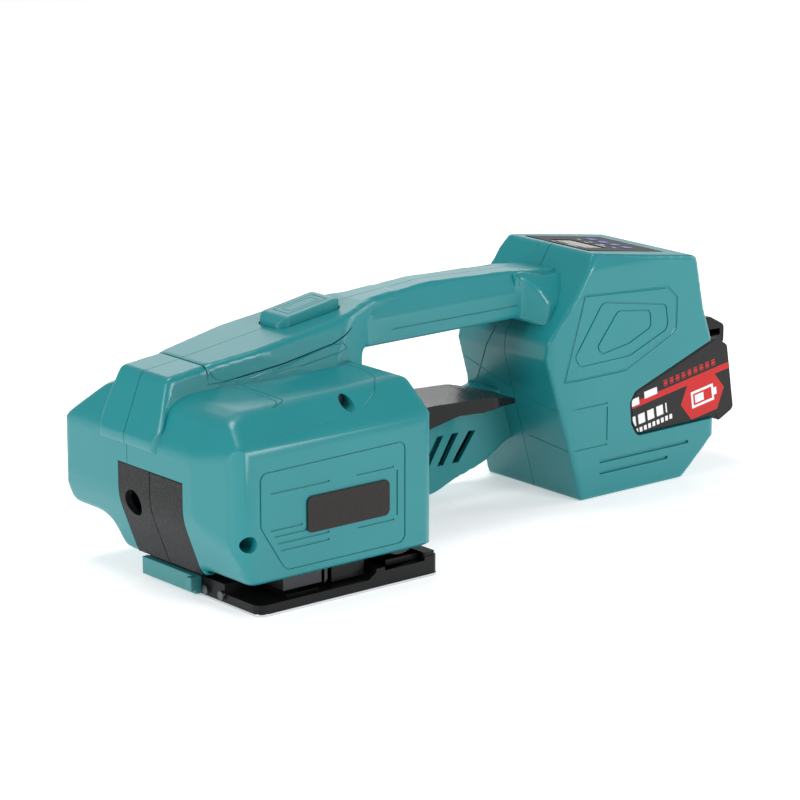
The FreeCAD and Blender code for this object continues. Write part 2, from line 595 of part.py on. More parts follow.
press = Piece("strap_press_block").pad("Z", 10.8, 14.6, box2(-6.6, -78, 13, -14))
press.pad("Z", 6.8, 10.8, box2(-6.6, -78, 13, -62))


def ring(name, x, z, y0, y1, outside, inside, node=True):
    """A plain ring with its axis along Y."""
    piece = Piece(name, node).pad("Y", y0, y1, round2(0, 0, outside), round2(0, 0, inside))
    return piece.move(x, 0, z).body


# ---------------------------------------------------------------- rocker with the tension drive
def gear_outline(teeth, module, turn=0.0, backlash=0.16):
    """Involute spur gear outline, 25 degree pressure angle and stub teeth, turned by turn degrees."""
    press_angle = math.radians(25)
    pitch = teeth * module / 2
    base_r = pitch * math.cos(press_angle)
    tip = pitch + 0.8 * module
    root = pitch - 1.05 * module

    def roll(radius):
        if radius <= base_r:
            return 0.0
        slant = math.acos(base_r / radius)
        return math.tan(slant) - slant

    half = math.pi / (2 * teeth) - backlash / (2 * pitch) + roll(pitch)
    start = max(base_r, root)
    radii = [root] if root < base_r else []
    radii += [start + (tip - start) * i / 4 for i in range(5)]
    points = []
    for tooth in range(teeth):
        middle = 2 * math.pi * tooth / teeth + math.radians(turn)
        flank = [(r, half - roll(r)) for r in radii]
        for r, angle in flank:
            points.append((r * math.cos(middle - angle), r * math.sin(middle - angle)))
        for r, angle in reversed(flank):
            points.append((r * math.cos(middle + angle), r * math.sin(middle + angle)))
    return ("poly", points)


def ridged(count, radius, depth, share=0.5):
    """Outline of a knurled or toothed roller: count straight ridges of the given depth."""
    points = []
    floor = radius - depth
    for i in range(count):
        for offset, r in ((0.0, radius), (share, radius), (share + 0.15, floor), (0.85, floor)):
            angle = 2 * math.pi * (i + offset) / count
            points.append((r * math.cos(angle), r * math.sin(angle)))
    return ("poly", points)


wheel_x, wheel_z = num("dims.wheel_x"), num("dims.wheel_z")
module = num("dims.module")
gap_low = module * (num("dims.idler_small") + num("dims.wheel_teeth")) / 2
gap_high = module * (num("dims.idler_teeth") + num("dims.pinion_teeth")) / 2
angle_low = math.radians(num("dims.idler_angle"))
angle_high = math.radians(num("dims.motor_angle"))
idler_x = wheel_x + gap_low * math.cos(angle_low)
idler_z = wheel_z + gap_low * math.sin(angle_low)
motor_x = idler_x + gap_high * math.cos(angle_high)
motor_z = idler_z + gap_high * math.sin(angle_high)
print("idler", round(idler_x, 2), round(idler_z, 2), "motor", round(motor_x, 2), round(motor_z, 2))

rocker = Piece("rocker_arm")
cheek = [(-13.2, 50, 8), (-13.2, 34, 8), (22, 17.3, 6), (44, 17.3, 8), (49.3, 44, 2), (49.3, 57, 1),
         (43.8, 57, 1), (20, 52, 10), (2, 52, 6)]
rocker.pad("Y", -7, -3.5, ("poly", cheek))
rocker.pad("Y", -58, -3.5, round2("dims.pivot_x", "dims.pivot_z", 7.6))
rocker.pad("Y", -58, -53, ("poly", cheek))
rocker.pad("Y", -58, -3.5, box2(44, 44, 49.3, 57))
rocker.pad("Y", -20.5, -18, ("poly", [(-12, 38, 3), (8, 40, 3), (31, 58, 6), (31, 76, 8), (20, 82, 7),
                                      (2, 80, 8), (-12, 54, 6)]))
rocker.pad("Y", -48, -36, box2(34, 53.2, 49.3, 57))
rocker.cut("Y", -60, 0, round2("dims.pivot_x", "dims.pivot_z", "dims.pivot_rad + dims.fit"))
rocker.cut("Y", -60, 0, round2("dims.wheel_x", "dims.wheel_z", 8))
rocker.pad("Y", -18, -7, round2(idler_x, idler_z, 3))
rocker.cut("Y", -21, -17, round2(motor_x, motor_z, 5))
Piece("rocker_pivot_shaft").pad("Y", -61.8, "dims.frame_far", round2(0, 0, "dims.pivot_rad")).move(
    "dims.pivot_x", 0, "dims.pivot_z")
wheel_rings = [ring("bearing_" + tag, "dims.wheel_x", "dims.wheel_z", y0, y1, 8,
                    "dims.shaft_rad + dims.fit", False)
               for tag, y0, y1 in (("far", -7, -3.5), ("near", -58, -53))]
joined("Compound", "wheel_bearings", wheel_rings, node=True)
ecc_rings = [ring("ecc_bearing_" + tag, "dims.ecc_x", "dims.ecc_z", y0, y1, 8,
                  "dims.ecc_rad + dims.fit", False)
             for tag, y0, y1 in (("far", "dims.frame_near", "dims.frame_far"), ("near", -58, -50))]
joined("Compound", "eccentric_bearings", ecc_rings, node=True)
motor = Piece("tension_motor").pad("Y", -50, -20.5, round2(motor_x, motor_z, "dims.motor_rad - 0.5"))
motor.pad("Y", -52.5, -50, round2(motor_x, motor_z, 9))
shaft = Piece("tension_shaft").pad("Y", -81, -3.2, round2(0, 0, "dims.shaft_rad"))
shaft.move("dims.wheel_x", 0, "dims.wheel_z")
roller = Piece("tension_wheel").pad("Y", "dims.wheel_low", "dims.wheel_high", ridged(
    46, num("dims.wheel_rad"), 0.5), round2(0, 0, "dims.shaft_rad"))
roller.move("dims.wheel_x", 0, "dims.wheel_z")
low_dir, high_dir = num("dims.idler_angle"), num("dims.motor_angle")
wheel_turn = low_dir
small_turn = low_dir + 180 + 180 / num("dims.idler_small")
large_turn = high_dir
pinion_turn = high_dir + 180 + 180 / num("dims.pinion_teeth")
gear = Piece("tension_shaft_gear").pad("Y", -12.4, -8, gear_outline(
    int(num("dims.wheel_teeth")), module, wheel_turn), round2(0, 0, "dims.shaft_rad"))
gear.move("dims.wheel_x", 0, "dims.wheel_z")
idler = Piece("idler_gear").pad("Y", -17, -13, gear_outline(
    int(num("dims.idler_teeth")), module, large_turn), round2(0, 0, "3 + dims.fit"))
idler.pad("Y", -13, -8, gear_outline(
    int(num("dims.idler_small")), module, small_turn), round2(0, 0, "3 + dims.fit"))
idler.move(idler_x, 0, idler_z)
pinion = Piece("tension_motor_pinion").pad("Y", -17, -13, gear_outline(
    int(num("dims.pinion_teeth")), module, pinion_turn))
pinion.pad("Y", -20.4, -17, round2(0, 0, 2.5)).move(motor_x, 0, motor_z)

lever_body = joined("MultiCommon", "lever_body", [
    prism("lever_side", "Y", -30, 30, [
        (49.4, 56.5), (75, 59.5, 30), (103, 62.4, 40), (144, 60.4, 40), (160, 56.6, 12),
        (168, 54.2, 0.8), (167.2, 52.2, 0.8), (151, 54.2, 14), (138, 53.2, 20), (122, 54.3, 16),
        (106, 51.2, 20), (85, 46.5, 20), (49.4, 44.2)]),
    prism("lever_plan", "Z", 30, 70, [(49.4, -20), (148, -20, 20), (168.4, -12, 7), (168.4, 9, 7),
                                      (148, 16, 20), (49.4, 16)])])
lever_core = Piece("lever_core", node=False).pad("Y", -17, 13, ("poly", [
    (54, 30), (54, 52.5, 3), (75, 55.7, 20), (103, 58.8, 30), (142, 57, 20), (150, 50), (150, 30)]))
joined("Cut", "squeeze_lever", [lever_body, lever_core.body], node=True)

# ---------------------------------------------------------------- welding drive
pulley_r = num("dims.pulley_teeth") * 3 / (2 * math.pi)
ecc_r = num("dims.ecc_teeth") * 3 / (2 * math.pi)
weld_x, weld_z = num("dims.weld_x"), num("dims.weld_z")
ecc_x, ecc_z = num("dims.ecc_x"), num("dims.ecc_z")


def belt_line(large, small):
    """Outline of a belt round the welding motor pulley and the eccentric pulley."""
    span = math.hypot(ecc_x - weld_x, ecc_z - weld_z)
    heading = math.atan2(ecc_z - weld_z, ecc_x - weld_x)
    lean = math.acos((large - small) / span)
    points = []
    for i in range(25):
        angle = heading + lean + (2 * math.pi - 2 * lean) * i / 24
        points.append((weld_x + large * math.cos(angle), weld_z + large * math.sin(angle)))
    for i in range(17):
        angle = heading - lean + 2 * lean * i / 16
        points.append((ecc_x + small * math.cos(angle), ecc_z + small * math.sin(angle)))
    return ("poly", points)


thick = num("dims.belt_thick")
Piece("weld_drive_belt").pad("Y", -11.5, -5.5, belt_line(pulley_r + thick, ecc_r + thick),
                             belt_line(pulley_r + 0.08, ecc_r + 0.08))
can = Piece("weld_motor").pad("Y", "dims.frame_far", 40, round2(
    "dims.weld_x", "dims.weld_z", "dims.weld_rad - 0.4"))
can.pad("Y", 40, 43, round2("dims.weld_x", "dims.weld_z", 10))
wheel = Piece("weld_motor_pulley").pad("Y", -11.8, -5.2, ridged(20, pulley_r - 0.1, 0.5))
wheel.pad("Y", -5.2, 3.8, round2(0, 0, 2.5)).move("dims.weld_x", 0, "dims.weld_z")
wheel = Piece("eccentric_pulley").pad("Y", -11.8, -5.2, ridged(12, ecc_r - 0.1, 0.4), round2(0, 0, 4))
wheel.move("dims.ecc_x", 0, "dims.ecc_z")
spindle = Piece("eccentric_shaft").pad("Y", -64, 4.4, round2(0, 0, "dims.ecc_rad"))
spindle.pad("Y", -76, -64, round2("dims.ecc_throw", 0, 5))
spindle.move("dims.ecc_x", 0, "dims.ecc_z")
shoe = Piece("weld_shoe").pad("Y", -76, -64.5, ("poly", [
    (-38, 18, 1), (-18, 18, 1), (-18, 36, 6), (-23, 39.5, 6), (-33, 39.5, 6), (-38, 36, 6)]))
shoe.pad("Y", -79, -61.5, ("poly", [(-36, 8.6), (-13.4, 8.6), (-13.4, 18), (-36, 18)]))
shoe.cut("Y", -80, -60, round2("dims.ecc_x", "dims.ecc_z", 7))
blade = Piece("cutter_blade").pad("Y", -79, -62, ("poly", [
    (-11.6, 7.6), (-9.8, 9.4), (-9.8, 22), (-11.6, 22)]))
blade.pad("Y", -79, -62, box2(-11.6, 22, -7.2, 24))

# ---------------------------------------------------------------- springs
def coil(name, x, y, low, high, turns, radius, wire):
    """A compression spring with its axis along Z."""
    path = doc.addObject("Part::Helix", name + "_path")
    path.Pitch = (high - low - 2 * wire) / turns
    path.Height = high - low - 2 * wire
    path.Radius = radius
    path.Placement = FreeCAD.Placement(Vec(x, y, low + wire), FreeCAD.Rotation())
    section = doc.addObject("Part::Circle", name + "_wire")
    section.Radius = wire
    upright = FreeCAD.Rotation(Vec(1, 0, 0), 90)
    section.Placement = FreeCAD.Placement(Vec(x + radius, y, low + wire), upright)
    sweep = doc.addObject("Part::Sweep", name)
    sweep.Sections = [section]
    sweep.Spine = (path, ["Edge1"])
    sweep.Solid = True
    sweep.Frenet = True
    sweep.Label = name
    doc.recompute()
    return sweep


nodes.append(coil("rocker_return_spring", 40, -42, 57, 88, 8, 3.6, 0.7))
nodes.append(coil("thumb_button_spring", 34, 0, 100.2, 104, 3, 3, 0.4))
joined("Compound", "latch_springs", [coil("latch_coil%d" % i, 292, y, 68.9, 71.7, 3, 2, 0.3)
                                     for i, y in enumerate((-8, 8))], node=True)

# ---------------------------------------------------------------- button, switches and wiring
joined("MultiCommon", "thumb_button", [
    Piece("button_plan", node=False).pad("Z", 103, 130, box2(16.2, -10, 55.4, 10, 6)).body,
    prism("button_side", "Y", -12, 12, [(15, 104), (57, 104), (57, 120.8, 3), (51.5, 123.8, 5),
                                        (20.5, 118.4, 6), (15, 114.4, 3)])], node=True)
switch = Piece("trigger_switch").pad("Z", 91.5, 99, box2(24, -5, 44, 5))
switch.pad("Z", 99, 100.2, round2(34, 0, 1.8))
Piece("switch_carrier").pad("Z", 89, 91.5, box2(18, -26, 44, 26, 2))
wires = [rod("wire%d" % i, "X", (y, 102.6), 66, 176, 1.1) for i, y in enumerate((-2.6, 0, 2.6))]
joined("Compound", "handle_wires", wires, node=True)

# ---------------------------------------------------------------- display on the sloping box top
KEYS = [(41, -14), (41, -5), (41, 4), (41, 13)]
plate = Piece("display_plate", node=False).pad("Z", 128.6, 129.9, box2(204.4, -24.6, 258.1, 24.6, 2))
plate.cut("Z", 128, 131, box2(211, -15, 226, 12))
plate.cut("Z", 128, 131, *[box2(200.5 + s - 3.2, y - 2.7, 200.5 + s + 3.2, y + 2.7, 1.2)
                           for s, y in KEYS])
plate.body.Label = "display_panel"
nodes.append(tilted(plate.body, panel_rise, 200.5, 129.6))
nodes.append(top_block("lcd_screen", 10.6, 25.4, -14.9, 11.9, -1.2, -0.1))
nodes.append(top_block("display_board", 7, 53.5, -21.5, 21.5, -4.2, -2.6))
for i, (s, y) in enumerate(KEYS):
    key = Piece("display_key_%d" % (i + 1)).pad("Z", 128.0, 130.2, box2(
        200.5 + s - 3, y - 2.5, 200.5 + s + 3, y + 2.5, 1.0))
    tilted(key.body, panel_rise, 200.5, 129.6)
board = Piece("control_board").pad("Z", 94, 95.6, box2(197, -30, 254, 30, 2))
board.pad("Z", 95.6, 107, *[round2(208, y, 5) for y in (-16, 0, 16)])
board.pad("Z", 95.6, 99, box2(222, -20, 240, -2), box2(240, 4, 251, 22))
Piece("driver_board").pad("Y", 29, 30.6, box2(70, 14, 132, 44, 1))
sink = Piece("driver_heatsink").pad("Y", 25, 29, box2(76, 18, 124, 40))
sink.pad("Y", 19.6, 25, *[box2(78 + 6 * i, 18, 80 + 6 * i, 40) for i in range(8)])

# ---------------------------------------------------------------- battery pack
pack = [(227.6, 36.5, 3), (226.6, 47.4, 2), (230.2, 52.4, 3), (288.4, 72.6, 3), (296.7, 67.3, 3),
        (302.5, 31.7, 3), (291.2, 26.2, 2), (288.8, 29.7), (231.6, 29.2, 3)]
raised = [(234, 45), (306.7, 45), (306.7, 68.8, 1), (273.6, 68.8), (272, 73.6, 1), (234, 73.6, 1)]
skin = num("dims.skin")
pack_full = joined("MultiFuse", "pack_full", [
    Piece("pack_wide", node=False).pad("Y", "-dims.pack_half", "dims.pack_half", ("poly", pack)).body,
    Piece("pack_raised", node=False).pad("Y", "-dims.hump_half", "dims.hump_half", ("poly", raised)).body])
pack_outer = joined("Cut", "pack_outer", [pack_full, block("latch_room", 273.6, 315, -21, 21, 68.8, 90)])
pack_hollow = joined("MultiFuse", "pack_hollow", [
    Piece("pack_void", node=False).pad("Y", "dims.skin - dims.pack_half", "dims.pack_half - dims.skin",
                                       ("poly", inset(pack, skin))).body,
    Piece("raised_void", node=False).pad("Y", "dims.skin - dims.hump_half", "dims.hump_half - dims.skin",
                                         ("poly", inset(raised, skin))).body])
latch_floor = block("latch_floor", 272.1, 315, -22.5, 22.5, 67.3, 90)
pack_inner = joined("Cut", "pack_inner", [pack_hollow, latch_floor])
blade_slots = Piece("blade_slots", node=False).pad("X", 230, 246, *[
    box2(y - 0.9, 68, y + 0.9, 71.8) for y in (-10, 0, 10)])
case = joined("Cut", "pack_case", [joined("Cut", "pack_shell", [pack_outer, pack_inner]), blade_slots.body])
below_split = block("below_split", 220, 320, -50, 50, 10, 47)
above_split = block("above_split", 220, 320, -50, 50, 47, 90)
joined("MultiCommon", "battery_lower_case", [case, below_split], node=True)
joined("MultiCommon", "battery_upper_case", [case, above_split], node=True)
cells = [rod("cell_low%d" % i, "X", (y, 40.5), 232.6, 297.4, "dims.cell_rad")
         for i, y in enumerate((-20, 0, 20))]
cells += [rod("cell_high%d" % i, "X", (y, 57.8), 236.2, 301.2, "dims.cell_rad")
          for i, y in enumerate((-9.25, 9.25))]
joined("Compound", "battery_cells", cells, node=True)
Piece("battery_board").pad("X", 229.8, 231, box2(-28, 36.5, 28, 49, 1))
joined("Compound", "battery_contacts", [
    block("contact%d" % i, 236.2, 244, y + side * 0.8 - 0.15, y + side * 0.8 + 0.15, 68, 71.6)
    for i, (y, side) in enumerate([(y, side) for y in (-10, 0, 10) for side in (-1, 1)])], node=True)
terminal = Piece("terminal_block").pad("X", 231.1, 233.4, box2(-18, 58, 18, 73.6, 1))
terminal.pad("X", 233.4, 242.5, *[box2(y - 0.4, 68.4, y + 0.4, 71.4) for y in (-10, 0, 10)])
latch = Piece("battery_latch").pad("Y", -18.5, 18.5, ("poly", [
    (276, 71.8), (307.1, 71.8), (307.1, 64, 1), (310.4, 64, 1), (310.4, 73.6, 3), (300, 79.2, 4),
    (288.4, 79.4, 1), (288.4, 73.8), (276, 73.8)]))
latch.pad("Y", -6, 6, ("poly", [(276, 73.8), (280.2, 73.8), (280.2, 75.2), (276, 76.4)]))
stickers = []
for tag, y0, y1 in (("near", "-dims.pack_half - 0.25", "-dims.pack_half"),
                    ("far", "dims.pack_half", "dims.pack_half + 0.25")):
    stickers.append(Piece("sticker_" + tag, node=False).pad("Y", y0, y1, ("poly", inset(pack, 0.8))).body)
joined("Compound", "battery_label", stickers, node=True)

# ---------------------------------------------------------------- check and export
problems = [o.Label for o in doc.Objects if "Invalid" in o.State or "Error" in o.State]
for node in nodes:
    shape = node.Shape
    if shape.isNull() or not shape.isValid() or not shape.Solids:
        problems.append(node.Label + " shape")
if problems:
    raise RuntimeError("failed objects: " + ", ".join(problems))
if len(nodes) > 60:
    raise RuntimeError("too many sub-parts: %d" % len(nodes))
for old in os.listdir("parts"):
    if old.endswith(".step"):
        os.remove(os.path.join("parts", old))
whole = FreeCAD.BoundBox()
for node in nodes:
    node.Shape.exportStep("parts/%s.step" % node.Label)
    whole.add(node.Shape.BoundBox)
    print("%-24s solids %2d  volume %9.1f" % (node.Label, len(node.Shape.Solids), node.Shape.Volume))
overall = (whole.XMin, whole.XMax, whole.YMin, whole.YMax, whole.ZMin, whole.ZMax)
print(len(nodes), "sub-parts, overall", [round(value, 1) for value in overall])
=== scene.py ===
# %% [markdown]
# # A hand-held battery strapping tool
# This tool pulls plastic strap tight round a carton, welds the two layers together and cuts the tail off.
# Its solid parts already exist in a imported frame, in metres, with the nose towards -X, the strap side
# towards -Y and the battery towards +X. This lesson gives each part its moulded edges, its print and its
# finish.

# %% Load the frame
import json
import math

import bmesh
import bpy
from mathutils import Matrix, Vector


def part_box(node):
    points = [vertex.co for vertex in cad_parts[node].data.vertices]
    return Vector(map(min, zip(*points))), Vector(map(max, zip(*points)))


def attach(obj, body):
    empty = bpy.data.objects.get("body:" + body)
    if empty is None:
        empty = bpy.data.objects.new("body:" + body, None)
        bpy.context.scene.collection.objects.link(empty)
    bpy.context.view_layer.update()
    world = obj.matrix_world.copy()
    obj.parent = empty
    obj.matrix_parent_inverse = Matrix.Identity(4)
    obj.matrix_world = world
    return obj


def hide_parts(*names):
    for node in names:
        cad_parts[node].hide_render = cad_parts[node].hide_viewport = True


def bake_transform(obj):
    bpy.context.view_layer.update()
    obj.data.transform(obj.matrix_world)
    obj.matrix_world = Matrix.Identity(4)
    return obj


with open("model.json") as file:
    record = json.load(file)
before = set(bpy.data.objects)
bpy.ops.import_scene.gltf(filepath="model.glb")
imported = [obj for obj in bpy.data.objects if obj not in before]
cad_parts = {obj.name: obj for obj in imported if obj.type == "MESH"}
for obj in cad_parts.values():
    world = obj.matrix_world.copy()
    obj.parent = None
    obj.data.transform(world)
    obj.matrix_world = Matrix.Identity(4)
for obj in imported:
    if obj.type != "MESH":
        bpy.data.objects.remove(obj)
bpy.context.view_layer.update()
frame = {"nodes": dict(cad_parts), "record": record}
BODY_OF = {node: body for body, nodes in frame["record"]["behaviour"]["bodies"].items() for node in nodes}
SLOT_OF = {row["node"]: row["material_slot"] for row in frame["record"]["subparts"]}

# %% [markdown]
# ## Camera, floor and light
# A catalogue picture of a tool is taken from far away with a long lens, so that its edges stay nearly
# parallel. The camera looks at the strap side and slightly down. The floor is a wide pale sheet, and five
# soft lamps stand where a studio would hang its boxes: above, at the nose, in front, at the battery end and
# behind.

# %% Camera
CAMERA_PLACE = Vector((-0.9319, -1.2512, 0.4817))
AZIMUTH, ELEVATION = math.radians(-39.5), math.radians(14.5)
LENS = 149.5
SENSOR = 36.0
FARTHEST_SEEN = 50


def look_back(azimuth, elevation):
    """The direction from the object to a camera at that azimuth and elevation."""
    level = math.cos(elevation)
    return Vector((math.sin(azimuth) * level, -math.cos(azimuth) * level, math.sin(elevation)))


lens = bpy.data.cameras.new("studio_camera")
lens.lens = LENS
lens.sensor_width = SENSOR
lens.clip_end = FARTHEST_SEEN
camera = bpy.data.objects.new("studio_camera", lens)
camera.location = CAMERA_PLACE
camera.rotation_euler = (-look_back(AZIMUTH, ELEVATION)).to_track_quat("-Z", "Y").to_euler()
bpy.context.scene.collection.objects.link(camera)
bpy.context.scene.camera = camera
print("camera stands", round(CAMERA_PLACE.length, 2), "m from the tool")

# %% Lamps and surroundings
# Each lamp: its place and size in metres, and its power in watts.
AIM = Vector((0.11, -0.01, 0.06))
LAMPS = {
    "top_box": ((0.0, 0.4, 1.5), (0.8, 0.4), 10),
    "nose_box": ((-1.6, -0.1, 0.6), (0.35, 1.2), 16),
    "front_box": ((0.5, -1.7, 0.7), (0.7, 0.4), 15),
    "end_box": ((1.6, -0.5, 0.5), (0.5, 0.9), 6),
    "back_box": ((1.2, 1.6, 0.75), (1.6, 0.6), 6)}
ROOM_COLOUR = (0.93, 0.95, 1.0, 1)
ROOM_STRENGTH = 0.36


def soft_lamp(name, place, size, power):
    """A rectangular studio lamp that faces the tool."""
    light = bpy.data.lights.new(name, "AREA")
    light.shape = "RECTANGLE"
    light.size, light.size_y = size
    light.energy = power
    lamp = bpy.data.objects.new(name, light)
    lamp.location = place
    lamp.rotation_euler = (AIM - Vector(place)).to_track_quat("-Z", "Y").to_euler()
    bpy.context.scene.collection.objects.link(lamp)


for lamp_name, row in LAMPS.items():
    soft_lamp(lamp_name, *row)
world = bpy.data.worlds.new("studio")
world.use_nodes = True
surroundings = world.node_tree.nodes["Background"].inputs
surroundings["Color"].default_value = ROOM_COLOUR
surroundings["Strength"].default_value = ROOM_STRENGTH
bpy.context.scene.world = world
bpy.context.scene.view_settings.view_transform = "Standard"
print(len(bpy.data.lights), "lamps")

# %% [markdown]
# ## Shader maths as plain expressions
# A finish is easiest to read as arithmetic: one noise times a depth plus a streak. The class below wraps
# one output of a node tree, so that writing a + b adds a Math node. Colours have methods of their own,
# because a Math node would turn a colour grey.

# %% A value in a node tree
class Wire:
    """One output of a node tree. Arithmetic on it adds Math nodes."""

    def __init__(self, finish, socket):
        self.finish = finish
        self.socket = socket

    def maths(self, operation, *others):
        """A Math node with this value first."""
        return self.finish.maths(operation, self, *others)

    def __add__(self, other):
        return self.maths("ADD", other)

    def __mul__(self, other):
        return self.maths("MULTIPLY", other)

    def __sub__(self, other):
        return self.maths("SUBTRACT", other)

    def __rsub__(self, other):
        return self.finish.maths("SUBTRACT", other, self)

    def __gt__(self, other):
        return self.maths("GREATER_THAN", other)

    def __lt__(self, other):
        return self.maths("LESS_THAN", other)

    def __abs__(self):
        return self.maths("ABSOLUTE")

    def either(self, other):
        """The larger of two values: one mask or the other."""
        return self.maths("MAXIMUM", other)

    def wave(self, length):
        """A sine of this value with that wavelength."""
        return (self * (2 * math.pi / length)).maths("SINE")

    __radd__ = __add__
    __rmul__ = __mul__


# %% A finish with one method for every node
class Finish:
    """A material whose nodes come from add(): a type, its settings, then its sockets' values or links."""

    def __init__(self, name, colour, roughness, metallic=0.0, coat=0.0, gloss=0.5):
        self.material = bpy.data.materials.new(name)
        self.material.use_nodes = True
        self.tree = self.material.node_tree
        self.shader = self.tree.nodes["Principled BSDF"]
        self.surface({
            "Base Color": (*colour, 1), "Roughness": roughness, "Metallic": metallic, "Coat Weight": coat,
            "Specular IOR Level": gloss})
        self.place = self.add("ShaderNodeTexCoord", {}, {}, "Object")
        self.x, self.y, self.z = (
            self.add("ShaderNodeSeparateXYZ", {}, {"Vector": self.place}, axis) for axis in ("X", "Y", "Z"))

    def add(self, kind, settings, inputs, output=0):
        node = self.tree.nodes.new(kind)
        for key, value in settings.items():
            setattr(node, key, value)
        self.feed(node, inputs)
        return Wire(self, node.outputs[output])

    def maths(self, operation, *values):
        return self.add("ShaderNodeMath", {"operation": operation}, dict(enumerate(values)))

    def feed(self, node, inputs):
        for key, value in inputs.items():
            if isinstance(value, Wire):
                self.tree.links.new(value.socket, node.inputs[key])
            else:
                node.inputs[key].default_value = value

    def surface(self, inputs):
        self.feed(self.shader, inputs)

    def noise(self, size, detail=3.0, stretch=(1, 1, 1)):
        """Noise with features of about that size in metres."""
        scaled = self.add("ShaderNodeVectorMath", {"operation": "MULTIPLY"}, {0: self.place, 1: stretch})
        return self.add(
            "ShaderNodeTexNoise", {}, {"Vector": scaled, "Scale": 1 / size, "Detail": detail}, "Fac")

    def blend(self, factor, first, second):
        """A colour between two colours."""
        return self.over(factor, (*first, 1), second)

    def over(self, factor, below, above):
        """A plain colour laid over a colour wire, where the factor is one."""
        return self.add("ShaderNodeMix", {"data_type": "RGBA"}, {0: factor, 6: below, 7: (*above, 1)}, 2)

    def relief(self, height, depth, distance=0.001):
        """Bumps of that height over the surface."""
        sockets = {"Height": height, "Strength": depth, "Distance": distance}
        self.surface({"Normal": self.add("ShaderNodeBump", {}, sockets, "Normal")})


print("shader helpers ready")

# %% [markdown]
# ## Finishes
# The tool shows few materials, and each has its own scale of detail. The teal shells are ABS with a fine
# spark-eroded texture, which spreads every highlight. Guards and pack are black nylon with a coarser grain.
# The wear plate is ground and polished by the load it slides on. Inside are blackened steel, cast
# aluminium, brass and circuit boards.

# %% Moulded plastics
def moulded(name, colour, roughness, grain, depth, coat=0.0, tint=0.06, gloss=0.5):
    """Plastic with a spark-eroded grain, slight colour clouds and a roughness that wanders."""
    made = Finish(name, colour, roughness, coat=coat, gloss=gloss)
    clouds = made.noise(0.045, 2.0)
    fine = made.noise(grain, 2.0)
    darker = [channel * (1 - tint) for channel in colour]
    lighter = [channel * (1 + tint) for channel in colour]
    made.surface({
        "Base Color": made.blend(clouds, darker, lighter),
        "Roughness": roughness - 0.05 + clouds * 0.06 + fine * 0.06})
    made.relief(fine, depth, 0.0004)
    return made


TEAL = (0.008, 0.205, 0.220)
finishes = {
    "housing_teal": moulded("housing_teal", TEAL, 0.30, 0.00055, 0.07, gloss=0.5),
    "lever_black": moulded("lever_black", (0.006, 0.006, 0.006), 0.26, 0.0007, 0.10, gloss=0.22),
    "switch_black": moulded("switch_black", (0.012, 0.012, 0.013), 0.45, 0.0006, 0.15),
    "carrier_grey": moulded("carrier_grey", (0.06, 0.06, 0.065), 0.5, 0.0006, 0.15),
    "pack_black": moulded("pack_black", (0.006, 0.006, 0.007), 0.42, 0.0006, 0.2, gloss=0.3),
    "wire_sleeve": moulded("wire_sleeve", (0.30, 0.012, 0.010), 0.4, 0.0008, 0.1),
    "belt_rubber": moulded("belt_rubber", (0.012, 0.012, 0.012), 0.7, 0.0004, 0.3),
    "key_blue": moulded("key_blue", (0.05, 0.09, 0.42), 0.3, 0.0008, 0.06, coat=0.2),
}
print(len(finishes), "plastics")

# %% Speckled guards and the badge
def speckled(name, colour, fleck, roughness):
    """Glass-filled nylon: pale flecks of fibre under a coarse grain."""
    made = Finish(name, colour, roughness, gloss=0.3)
    spots = made.noise(0.0006, 1.0)
    coarse = made.noise(0.0011, 2.0)
    flecks = (spots > 0.62) * 0.7
    made.surface({
        "Base Color": made.blend(flecks, colour, fleck),
        "Roughness": roughness - 0.08 + coarse * 0.16})
    made.relief(coarse, 0.35, 0.0004)
    return made


finishes["guard_black"] = speckled("guard_black", (0.008, 0.008, 0.008), (0.045, 0.045, 0.048), 0.52)
finishes["badge_black"] = speckled("badge_black", (0.010, 0.007, 0.006), (0.020, 0.015, 0.014), 0.36)
print("guards and badge")

# %% Metals
def machined(name, colour, roughness, streak=(1, 40, 40), depth=0.12, metallic=1.0):
    """Metal with fine tool marks along one axis and a few wider smears."""
    made = Finish(name, colour, roughness, metallic=metallic)
    lines = made.noise(0.02, 3.0, streak)
    smears = made.noise(0.018, 2.0)
    made.surface({
        "Base Color": made.blend(smears, [channel * 0.86 for channel in colour], colour),
        "Roughness": roughness - 0.07 + lines * 0.10 + smears * 0.06})
    made.relief(lines, depth, 0.0003)
    return made


METALS = {
    "wear_steel": ((0.72, 0.73, 0.75), 0.20, (1, 45, 45), 0.08),
    "tool_steel": ((0.06, 0.06, 0.065), 0.36, (30, 1, 30), 0.15),
    "screw_steel": ((0.16, 0.16, 0.17), 0.35, (30, 1, 30), 0.12),
    "frame_alu": ((0.60, 0.61, 0.63), 0.48, (2, 2, 2), 0.3),
    "motor_steel": ((0.48, 0.49, 0.51), 0.30, (1, 30, 30), 0.1),
    "brass_gear": ((0.62, 0.42, 0.15), 0.28, (30, 1, 30), 0.12),
    "spring_steel": ((0.42, 0.42, 0.44), 0.28, (1, 1, 20), 0.08),
    "heatsink_alu": ((0.52, 0.53, 0.55), 0.38, (1, 30, 30), 0.2),
    "contact_brass": ((0.68, 0.52, 0.24), 0.25, (20, 20, 1), 0.08),
}
for slot_name, (colour, roughness, streak, depth) in METALS.items():
    finishes[slot_name] = machined(slot_name, colour, roughness, streak, depth)
finishes["base_black"] = machined("base_black", (0.005, 0.005, 0.005), 0.30, (1, 12, 12), 0.12, metallic=0.1)
finishes["base_black"].surface({"Specular IOR Level": 0.25})
finishes["bracket_teal"] = machined("bracket_teal", (0.045, 0.24, 0.25), 0.38, (2, 2, 2), 0.12, metallic=0.1)
finishes["cell_wrap"] = machined("cell_wrap", (0.05, 0.24, 0.16), 0.35, (1, 6, 6), 0.05, metallic=0.1)
